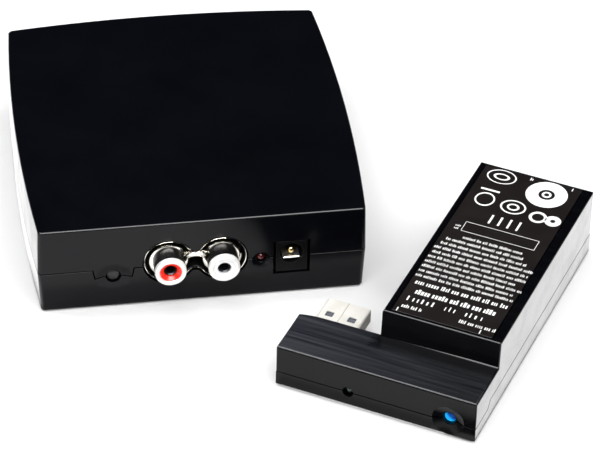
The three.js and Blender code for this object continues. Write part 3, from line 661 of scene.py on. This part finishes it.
def dog_bone(spots, radius, neck, steps=16):
    """Outline in x and z of two round cups joined by a waisted neck."""
    (left, z), (right, _) = spots
    half = (right - left) / 2
    middle = (left + right) / 2
    fillet = (half ** 2 + neck ** 2 - radius ** 2) / (2 * (radius - neck))
    turn = math.degrees(math.atan2(neck + fillet, half))
    outline = arc(right, z, radius, turn - 180, 180 - turn, 2 * steps)
    outline += arc(middle, z + neck + fillet, fillet, -turn, turn - 180, steps)[1:]
    outline += arc(left, z, radius, turn, 360 - turn, 2 * steps)[1:]
    outline += arc(middle, z - neck - fillet, fillet, 180 - turn, turn, steps)[1:-1]
    return outline


def rim(radius, tip, bead, back, bore, steps=10):
    """Profile of a tube whose front edge is a full round bead, for a closed stack."""
    middle = radius - bead
    profile = [(bore, back), (radius, back)]
    profile += [(middle + bead * math.cos(a), tip + bead - bead * math.sin(a))
                for a in [math.pi * i / steps for i in range(steps + 1)]]
    return profile + [(bore, tip + bead + 0.5)]


PHONO_COLOURS = ("red", "white")
NECK = 2.9                  # half the height of the waist between the two cups
BARREL_RADIUS = 4.15
SHOULDER_RADIUS = 5.15
INSERT_BORE = 1.72
# The front face of each insert: pairs of a radius and a depth behind the barrel's tip.
INSERTS = {
    "red": (RED, [(2.83, 0.45), (2.55, 0.36), (1.98, 0.9), (1.76, 1.1), (INSERT_BORE, 1.4)]),
    "white": (WHITE, [(2.83, 0.36), (2.6, 0.28), (1.95, 0.42), (1.78, 0.5), (INSERT_BORE, 0.75)]),
}


def cups(spots, lip, rings):
    """The outline of both cups, once for each ring, which is given by its growth and its depth."""
    return [[BOX @ Vector((x, y, z)) for x, z in dog_bone(spots, lip + grow, NECK + grow)]
            for grow, y in rings]


def phono_well(spots, lip, back):
    """The black wall and floor inside the plated cups."""
    rings = [(-0.43, back), (-0.43, 1.0), (-0.62, 0.9), (-0.66, 1.2), (-0.7, back - 1.0), (-0.9, back - 0.6)]
    bm = bmesh.new()
    stack(bm, cups(spots, lip, rings))
    piece("phono_well", bm, "base_unit", BLACK_INNER)


def phono_tray(spots, lip, back):
    """The plated cups with their rolled lip, the shoulders of both barrels and the bridge between them."""
    rings = [(0.0, back), (0.0, 0.75), (-0.06, 0.5), (-0.22, 0.4), (-0.38, 0.5), (-0.42, 0.75), (-0.42, back)]
    bm = bmesh.new()
    stack(bm, cups(spots, lip, rings), True)
    bore, front, foot = 3.5, 0.5, back - 0.2
    profile = [(bore, foot), (SHOULDER_RADIUS, foot), (SHOULDER_RADIUS, front + 0.45),
               (SHOULDER_RADIUS - 0.12, front + 0.18), (SHOULDER_RADIUS - 0.4, front + 0.05),
               (BARREL_RADIUS + 0.15, front), (BARREL_RADIUS - 0.3, front), (bore, front)]
    for spot in spots:
        turned(bm, BOX, spot, profile, 64, True)
    saddle(bm, spots, foot)
    piece("phono_plating", bm, "base_unit", CHROME, ["phono_metal_shell"])


def phono_rim_painted_highlight(colour, spot, tip):
    """The full-round edge of a barrel, painted near-white as a painted highlight."""
    bm = bmesh.new()
    turned(bm, BOX, spot, rim(BARREL_RADIUS, tip, 0.66, tip + 1.35, 3.2), 64, True)
    piece(f"phono_rim_painted_highlight_{colour}", bm, "base_unit", RIM_PAINTED_HIGHLIGHT)


def phono_barrel_painted_dark(colour, spot, tip, back):
    """The fluted middle of a barrel, behind its rim, darkened as a painted reflection."""
    bm = bmesh.new()
    knurl(bm, spot, BARREL_RADIUS - 0.03, tip + 1.3, back - 0.1, 3.25)
    piece(f"phono_barrel_painted_dark_{colour}", bm, "base_unit", BARREL_PAINTED_DARK, (), 40)


def phono_insert(colour, spot, tip):
    """The coloured plastic inside a barrel."""
    material, front = INSERTS[colour]
    end = local_box(f"phono_insulator_{colour}", BOX)[1].y
    radius = 3.0
    profile = [(INSERT_BORE, end), (radius, end), (radius, tip + 1.4)]
    profile += [(r, tip + depth) for r, depth in front]
    bm = bmesh.new()
    turned(bm, BOX, spot, profile, 56, True)
    piece(f"phono_insert_{colour}", bm, "base_unit", material,
          [f"phono_insulator_{colour}"], 30)


def phono_sleeve(colour, spot, tip):
    """The centre contact: a tube whose mouth lies just inside the insert, darkened as painted shade."""
    end = local_box(f"phono_contact_{colour}", BOX)[1].y
    bore, radius = 1.25, 1.69
    _, front = INSERTS[colour]
    mouth = tip + front[-1][1] + 0.15
    profile = [(bore, end), (radius, end), (radius, mouth + 0.15), (radius - 0.07, mouth),
               (bore + 0.1, mouth + 0.25), (bore, mouth + 0.5)]
    bm = bmesh.new()
    turned(bm, BOX, spot, profile, 40, True)
    piece(f"phono_sleeve_{colour}", bm, "base_unit", SLEEVE_PAINTED_SHADE,
          [f"phono_contact_{colour}"], 30)


def phono_sockets():
    """Both sockets, around the middles of their CAD inserts."""
    low, high = local_box("phono_metal_shell", BOX)
    tip, back = low.y, high.y
    middles = [centre(f"phono_insulator_{colour}", BOX) for colour in PHONO_COLOURS]
    spots = [(middle.x, middle.z) for middle in middles]
    lip = spots[0][0] - low.x
    phono_well(spots, lip, back)
    phono_tray(spots, lip, back)
    for colour, spot in zip(PHONO_COLOURS, spots):
        phono_rim_painted_highlight(colour, spot, tip)
        phono_barrel_painted_dark(colour, spot, tip, back)
    for colour, spot in zip(PHONO_COLOURS, spots):
        phono_insert(colour, spot, tip)
        phono_sleeve(colour, spot, tip)


def knurl(bm, spot, radius, front, back, bore, flutes=40, depth=0.07):
    """A tube with fine flutes along its outside and a plain bevel at its front."""
    bevel = 0.1
    rings = []
    for inner, y in ((True, back), (False, back), (False, front + bevel), (False, front), (True, front)):
        ring = []
        for i in range(flutes * 2):
            a = math.pi * i / flutes
            groove = depth if i % 2 and y > front else 0.0
            r = bore if inner else radius - groove
            ring.append(BOX @ Vector((spot[0] + r * math.cos(a), y, spot[1] + r * math.sin(a))))
        rings.append(ring)
    stack(bm, rings, True)


def saddle(bm, spots, foot, steps=14):
    """The bridge between the barrels: a plate with a waisted top edge, an arched lower edge and a
    beaded face, which runs back where it meets the barrels."""
    (left, z), (right, _) = spots
    overlap = 0.5
    start, stop = left + BARREL_RADIUS - overlap, right - BARREL_RADIUS + overlap
    face = 1.45
    rows = []
    for i in range(steps + 1):
        t = i / steps
        x = start + (stop - start) * t
        waist = (2 * t - 1) ** 2
        upper = z + 1.95 + 1.5 * waist
        lower = z + 0.35 - 1.5 * waist
        hollow = 0.55 - 0.25 * waist
        y = face - 2.6 * waist ** 2
        outline = ((0.0, foot), (0.0, y), (0.04, y - 0.25), (0.14, y - 0.43), (0.5, y - hollow),
                   (0.86, y - 0.43), (0.96, y - 0.25), (1.0, y), (1.0, foot))
        rows.append([BOX @ Vector((x, depth, lower + (upper - lower) * height)) for height, depth in outline])
    stack(bm, rows)


def dome(bm, place, spot, radius, tip, back, collar, sides=40):
    """A lamp lens: a dome, its body and a collar at its back, with slightly broken edges."""
    thick, broken = 1.0, 0.05
    profile = nose(radius, tip, 0.8)
    profile += [(radius, back - thick), (radius + collar - broken, back - thick),
                (radius + collar, back - thick + 2 * broken), (radius + collar, back - broken),
                (radius + collar - broken, back), (0, back)]
    turned(bm, place, spot, profile, sides)


def lamp_piece(name, node, place, body, material):
    """A lamp: its lens, and two legs that run back and then down to the board."""
    low, high = local_box(node, place)
    middle_x = (low.x + high.x) / 2
    collar, apart, thin, broken = 0.35, 0.6, 0.25, 0.06
    radius = (high.x - low.x) / 2 - collar
    top = high.z - radius - collar
    back = high.y - 1.2
    bm = bmesh.new()
    dome(bm, place, (middle_x, top), radius, low.y, back, collar)
    for x in (middle_x - apart, middle_x + apart):
        slab(bm, place, (x - thin, back - 0.3, top - thin), (x + thin, high.y, top + thin), broken)
        slab(bm, place, (x - thin, high.y - 2 * thin, low.z), (x + thin, high.y, top + 0.2), broken)
    piece(name, bm, body, material, [node])


def inlet_body():
    """The black body of the inlet, with the edges round its mouth rounded."""
    mouth = both(lambda p: p.y < 0.4)
    refined("inlet_body", "dc_inlet_body", BOX, "base_unit", BLACK_INNER, [(mouth, 0.1, 2)])


def inlet_pin():
    """A round-nosed pin with a flange at its back."""
    low, high = local_box("dc_inlet_pin", BOX)
    middle = centre("dc_inlet_pin", BOX)
    radius, flange = 1.05, 1.9
    front = high.y - 0.7        # front of the flange
    profile = nose(radius, low.y)
    profile += [(radius, front), (flange - 0.05, front + 0.02), (flange, front + 0.1),
                (flange, high.y - 0.1), (flange - 0.1, high.y), (0, high.y)]
    bm = bmesh.new()
    turned(bm, BOX, (middle.x, middle.z), profile, 40)
    piece("inlet_pin", bm, "base_unit", GOLD, ["dc_inlet_pin"])


def inlet_spring():
    """A flat spring with a thicker, rounded end at the front."""
    low, high = local_box("dc_inlet_spring", BOX)
    swell = 0.16
    bm = bmesh.new()
    slab(bm, BOX, (low.x, low.y + 0.5, low.z), high, 0.08)
    slab(bm, BOX, (low.x, low.y, low.z - swell), (high.x, low.y + 0.9, high.z + swell), 0.3, 4)
    piece("inlet_spring", bm, "base_unit", NICKEL, ["dc_inlet_spring"])


def button(name, node, place, body, material, radius, crown):
    """A push button turned from its CAD box: a head with a face crowned by a given depth, a collar
    behind the shell and a stem."""
    low, high = local_box(node, place)
    middle = centre(node, place)
    collar = high.y - 2.12      # front of the collar, whose back stays clear of the board when pressed
    thick, wide, broken, stem = 1.0, radius + 1.0, 0.05, 0.9
    profile = [(0, low.y), (radius * 0.55, low.y + crown * 0.25), (radius - 0.3, low.y + crown),
               (radius - 0.1, low.y + crown + 0.12), (radius, low.y + crown + 0.35), (radius, collar),
               (wide - broken, collar), (wide, collar + broken), (wide, collar + thick - broken),
               (wide - broken, collar + thick), (stem, collar + thick), (stem, high.y - 0.1),
               (stem - 0.1, high.y), (0, high.y)]
    bm = bmesh.new()
    turned(bm, place, (middle.x, middle.z), profile)
    piece(name, bm, body, material, [node])


sender_shells()
phono_sockets()
lamp_piece("sender_lamp", "base_lamp", BOX, "base_unit", RED_LENS)
inlet_body()
inlet_pin()
inlet_spring()
button("sender_button", "base_button_cap", BOX, "base_button", BLACK_KEY, 1.75, 0.2)


# ---------------------------------------------------------------- receiver
def outside(p, low, high, side, end):
    """Whether a point lies beyond a box that is widened by side in x and by end in y."""
    return p.x < low.x - side or p.x > high.x + side or p.y < low.y - end or p.y > high.y + end


def receiver_shells():
    """Both halves of the receiver's case, with their outer edges rounded."""
    low, high = local_box("receiver_upper_shell", RX)
    label_low, label_high = local_box("receiver_label", RX)
    on_top = both(lambda p: p.z > high.z - SAME and outside(p, label_low, label_high, 1, 0.7))
    label_bed = both(lambda p: p.z > high.z - SAME)
    on_deck = both(lambda p: abs(p.z - DECK) < SAME)
    at_front = both(lambda p: p.y < FLUSH)
    walls = (at_front, both(lambda p: p.y > high.y - FLUSH), both(lambda p: p.x > high.x - FLUSH))
    upright = lambda a, b: (abs(a.z - b.z) > 2 and (a - b).xy.length < FLUSH
                            and any(wall(a, b) for wall in walls))
    skirt = both(lambda p: 0.7 < p.z < 0.9 and outside(p, low, high, -1, -1))
    foot = both(lambda p: p.z < FLUSH and outside(p, low, high, -1, -1))
    refined("receiver_upper", "receiver_upper_shell", RX, "receiver_unit", BLACK_RX,
            [(on_top, 0.6, 4), (label_bed, 0.08, 1), (on_deck, 0.6, 4), (upright, 0.45, 3),
             (at_front, 0.12, 2)])
    refined("receiver_lower", "receiver_lower_shell", RX, "receiver_unit", BLACK_RX,
            [(skirt, 0.6, 5), (foot, 0.25, 3), (upright, 0.45, 3), (at_front, 0.12, 2)])


def receiver_cove():
    """A small hollow fillet along the foot of the high block, which catches a line of light."""
    right = local_box("receiver_upper_shell", RX)[1].x
    radius, sunk, inset = 0.6, 0.1, 0.3
    section = [(STEP - radius, DECK - sunk)] + arc(STEP - radius, DECK + radius, radius, -90, 0)
    section += [(STEP + sunk, DECK + radius), (STEP + sunk, DECK - sunk)]
    bm = bmesh.new()
    stack(bm, [[RX @ Vector((x, y, z)) for y, z in section] for x in (NOTCH + inset, right - inset)])
    piece("receiver_cove", bm, "receiver_unit", BLACK_RX)


PLUG_SKIN = 0.35
PLUG_CORNER = 0.7


def plug_outline(low, high, inset):
    """A rectangle in x and z with round corners, inside the plug shell's box by an inset."""
    x0, x1, z0, z1 = low.x + inset, high.x - inset, low.z + inset, high.z - inset
    r = PLUG_CORNER - inset
    return (arc(x1 - r, z1 - r, r, 0, 90, 5) + arc(x0 + r, z1 - r, r, 90, 180, 5)
            + arc(x0 + r, z0 + r, r, 180, 270, 5) + arc(x1 - r, z0 + r, r, 270, 360, 5))


def plug_cuts(low, high):
    """What is cut out of the plug shell: two square windows through it and a seam along its top."""
    middle = (low.x + high.x) / 2
    apart, half_x, half_y, corner = 3.1, 0.85, 0.82, 0.25
    window = high.y - 6.1
    bm = bmesh.new()
    for side in (-apart, apart):
        outline = []
        for (sx, sy), start in (((1, 1), 0), ((-1, 1), 90), ((-1, -1), 180), ((1, -1), 270)):
            outline += arc(middle + side + sx * half_x, window + sy * half_y, corner, start, start + 90, 3)
        stack(bm, [[RX @ Vector((x, y, z)) for x, y in outline] for z in (low.z - 1, high.z + 1)])
    seam = 0.07
    strip = [(middle - seam, low.y - 1), (middle + seam, low.y - 1),
             (middle + seam, high.y + 1), (middle - seam, high.y + 1)]
    stack(bm, [[RX @ Vector((x, y, z)) for x, y in strip] for z in (high.z - PLUG_SKIN - 0.1, high.z + 1)])
    return bm


def usb_shell():
    """The plug's sheet-metal tube with a rolled mouth, its windows and its seam."""
    low, high = local_box("usb_plug_shell", RX)
    rows = [(0.0, low.y), (0.0, high.y - 0.15), (0.05, high.y - 0.04), (0.15, high.y),
            (PLUG_SKIN - 0.1, high.y - 0.05), (PLUG_SKIN, high.y - 0.2), (PLUG_SKIN, low.y)]
    rings = [[RX @ Vector((x, y, z)) for x, z in plug_outline(low, high, inset)] for inset, y in rows]
    bm = bmesh.new()
    stack(bm, rings, True)
    shell = piece("usb_shell", bm, "receiver_unit", USB_METAL, ["usb_plug_shell"])
    carved(shell, plug_cuts(low, high))


def usb_tongue():
    """The plug's plastic tongue with its four contact fingers."""
    bm = bmesh.new()
    slab(bm, RX, *local_box("usb_plug_tongue", RX), 0.12)
    piece("usb_tongue", bm, "receiver_unit", TONGUE, ["usb_plug_tongue"])
    for i in range(1, 5):
        bm = bmesh.new()
        slab(bm, RX, *local_box(f"usb_contact_{i}", RX), 0.06)
        piece(f"usb_finger_{i}", bm, "receiver_unit", GOLD, [f"usb_contact_{i}"])


def bar(bm, x0, y0, x1, y1, low, high):
    """A flat printed stroke."""
    corners = [(x0, y0), (x1, y0), (x1, y1), (x0, y1)]
    stack(bm, [[RX @ Vector((x, y, z)) for x, y in corners] for z in (low, high)])


def ring_print(bm, spot, outer, inner, low, high, squash, steps=28):
    """A flat printed ring, squashed along the block."""
    rows = []
    for i in range(steps):
        a = 2 * math.pi * i / steps
        rows.append([RX @ Vector((spot[0] + r * math.cos(a), spot[1] + squash * r * math.sin(a), z))
                     for r, z in ((inner, low), (outer, low), (outer, high), (inner, high))])
    stack(bm, rows, True)


# The print's places run from 0 to 1: across the high block from its left, and along it from the deck.
# Lines of print: start, end, place along, then height, stroke width and gap in millimetres, and the
# most strokes in a word.
CAPTIONS = [
    (0.115, 0.28, 0.056, 1.3, 0.24, 0.22, 5), (0.60, 0.91, 0.058, 1.3, 0.24, 0.22, 5),
    (0.12, 0.855, 0.104, 1.8, 0.30, 1.0, 6), (0.15, 0.835, 0.152, 1.9, 0.46, 0.26, 5),
    (0.103, 0.887, 0.205, 1.6, 0.32, 0.26, 5),
]
# Rows of small print: start and end of each, from the deck upwards.
SMALL_PRINT = [(0.07, 0.90), (0.07, 0.88), (0.07, 0.92), (0.07, 0.84), (0.07, 0.92),
               (0.08, 0.90), (0.07, 0.93), (0.10, 0.84), (0.12, 0.80), (0.24, 0.76)]
FIRST_ROW, ROW_PITCH = 0.246, 0.031
SPECKS = [(0.125, 0.17, 0.568, 0.7, 0.14, 0.18, 5), (0.125, 0.17, 0.585, 0.7, 0.14, 0.18, 5),
          (0.465, 0.50, 0.972, 1.1, 0.2, 0.2, 5), (0.83, 0.85, 0.974, 1.1, 0.2, 0.2, 5)]
# Rings: place across and along, outer and inner radius in millimetres, and squash.
RINGS = [
    (0.70, 0.757, 2.4, 1.6, 1.0), (0.83, 0.757, 2.2, 0.7, 1.0), (0.468, 0.777, 3.5, 3.0, 0.85),
    (0.468, 0.777, 1.7, 1.1, 0.85), (0.216, 0.780, 2.7, 2.25, 1.1), (0.661, 0.903, 5.6, 2.2, 1.0),
    (0.661, 0.903, 1.3, 0.7, 1.0), (0.237, 0.938, 4.1, 3.7, 0.74), (0.237, 0.938, 2.3, 1.6, 0.6),
]
# Plain bars: place across and along, then their reach from it to the left, down, right and up in
# millimetres.  A bar that reaches down by less than nothing starts above its place.
BARS = [(0.099, 0.030, 0.13, 0.8, 0.13, 0.7), (0.797, 0.032, 0.13, 0.8, 0.13, 0.7),
        (0.216, 0.780, 2.6, -3.9, 2.6, 4.6)]
BARS += [(across, 0.672, 0.28, 1.9, 0.28, 1.9) for across in (0.36, 0.44, 0.52, 0.60)]
FRAME_CORNERS = ((0.187, 0.560), (0.824, 0.621))
FRAME_LINE = 0.13
PRINT_SUNK, PRINT_PROUD = 0.02, 0.03


def label_plate():
    """The thin black plate that carries the print."""
    bm = bmesh.new()
    slab(bm, RX, *local_box("receiver_label", RX), 0.04, 1)
    piece("label_plate", bm, "receiver_unit", LABEL_BLACK, ["receiver_label"])


def label_print():
    """Plain bars, strokes and rings that stand for the print and form no letters or marks."""
    block = local_box("receiver_upper_shell", RX)[1]
    wide, long = block.x - NOTCH, block.y - STEP
    at = lambda across, line: (NOTCH + across * wide, STEP + line * long)
    face = local_box("receiver_label", RX)[1].z
    levels = face - PRINT_SUNK, face + PRINT_PROUD
    rng = random.Random(11)
    bm = bmesh.new()

    def words(start, end, line, tall, heavy, gap, longest):
        """A row of plain upright strokes in groups, which stands for a line of print."""
        x, y = at(start, line)
        stop = at(end, line)[0]
        left_in_word = rng.randint(3, longest)
        while x < stop:
            stroke = heavy * rng.uniform(0.8, 1.6)
            height = tall * rng.choice((0.75, 0.75, 1.0))
            if x + stroke > stop:
                break
            bar(bm, x, y - tall / 2, x + stroke, y - tall / 2 + height, *levels)
            x += stroke + gap * rng.uniform(0.8, 1.3)
            left_in_word -= 1
            if left_in_word <= 0:
                x += gap * 2.0
                left_in_word = rng.randint(3, longest)

    for caption in CAPTIONS:
        words(*caption)
    for row, (start, end) in enumerate(SMALL_PRINT):
        words(start, end, FIRST_ROW + row * ROW_PITCH, 1.05, 0.20, 0.20, 8)
    for speck in SPECKS:
        words(*speck)
    for across, line, left, down, right, up in BARS:
        x, y = at(across, line)
        bar(bm, x - left, y - down, x + right, y + up, *levels)
    (x0, y0), (x1, y1) = (at(*corner) for corner in FRAME_CORNERS)
    bar(bm, x0, y0, x1, y0 + FRAME_LINE, *levels)
    bar(bm, x0, y1 - FRAME_LINE, x1, y1, *levels)
    bar(bm, x0, y0, x0 + FRAME_LINE, y1, *levels)
    bar(bm, x1 - FRAME_LINE, y0, x1, y1, *levels)
    for across, line, outer, inner, squash in RINGS:
        ring_print(bm, at(across, line), outer, inner, *levels, squash)
    piece("label_print", bm, "receiver_unit", PRINT_WHITE)


receiver_shells()
receiver_cove()
usb_shell()
usb_tongue()
lamp_piece("receiver_lamp_lens", "receiver_lamp", RX, "receiver_unit", GREEN_LENS)
button("receiver_button", "receiver_button_cap", RX, "receiver_button", BLUE, 1.5, 0.35)
label_plate()
label_print()


# ---------------------------------------------------------------- CAD nodes that still show
SLOT_MATERIALS = {
    "box_plastic": BLACK_GLOSS, "receiver_plastic": BLACK_RX, "label_print": LABEL_BLACK,
    "inner_black": BLACK_INNER, "phono_plating": CHROME, "contact_metal": NICKEL,
    "gold_metal": GOLD, "red_insert": RED, "white_insert": WHITE, "red_lens": RED_LENS,
    "green_lens": GREEN_LENS, "blue_lens": BLUE, "board": BOARD, "foot_rubber": RUBBER,
    "plain_steel": STEEL,
}
SOFT_EDGE = 0.12
SHARPEST_KEPT = 40          # edges that turn by fewer degrees than this stay as they are


def finish_cad_nodes():
    """Gives each CAD node that still shows its own slot's material and softly rounded edges."""
    for row in frame["record"]["subparts"]:
        node = frame["nodes"][row["node"]]
        if node.hide_render:
            continue
        node.data.materials.clear()
        node.data.materials.append(SLOT_MATERIALS[row["material_slot"]])
        softened = node.modifiers.new("soft_edges", "BEVEL")
        softened.width = SOFT_EDGE * MM
        softened.segments = 2
        softened.limit_method = "ANGLE"
        softened.angle_limit = math.radians(SHARPEST_KEPT)


finish_cad_nodes()
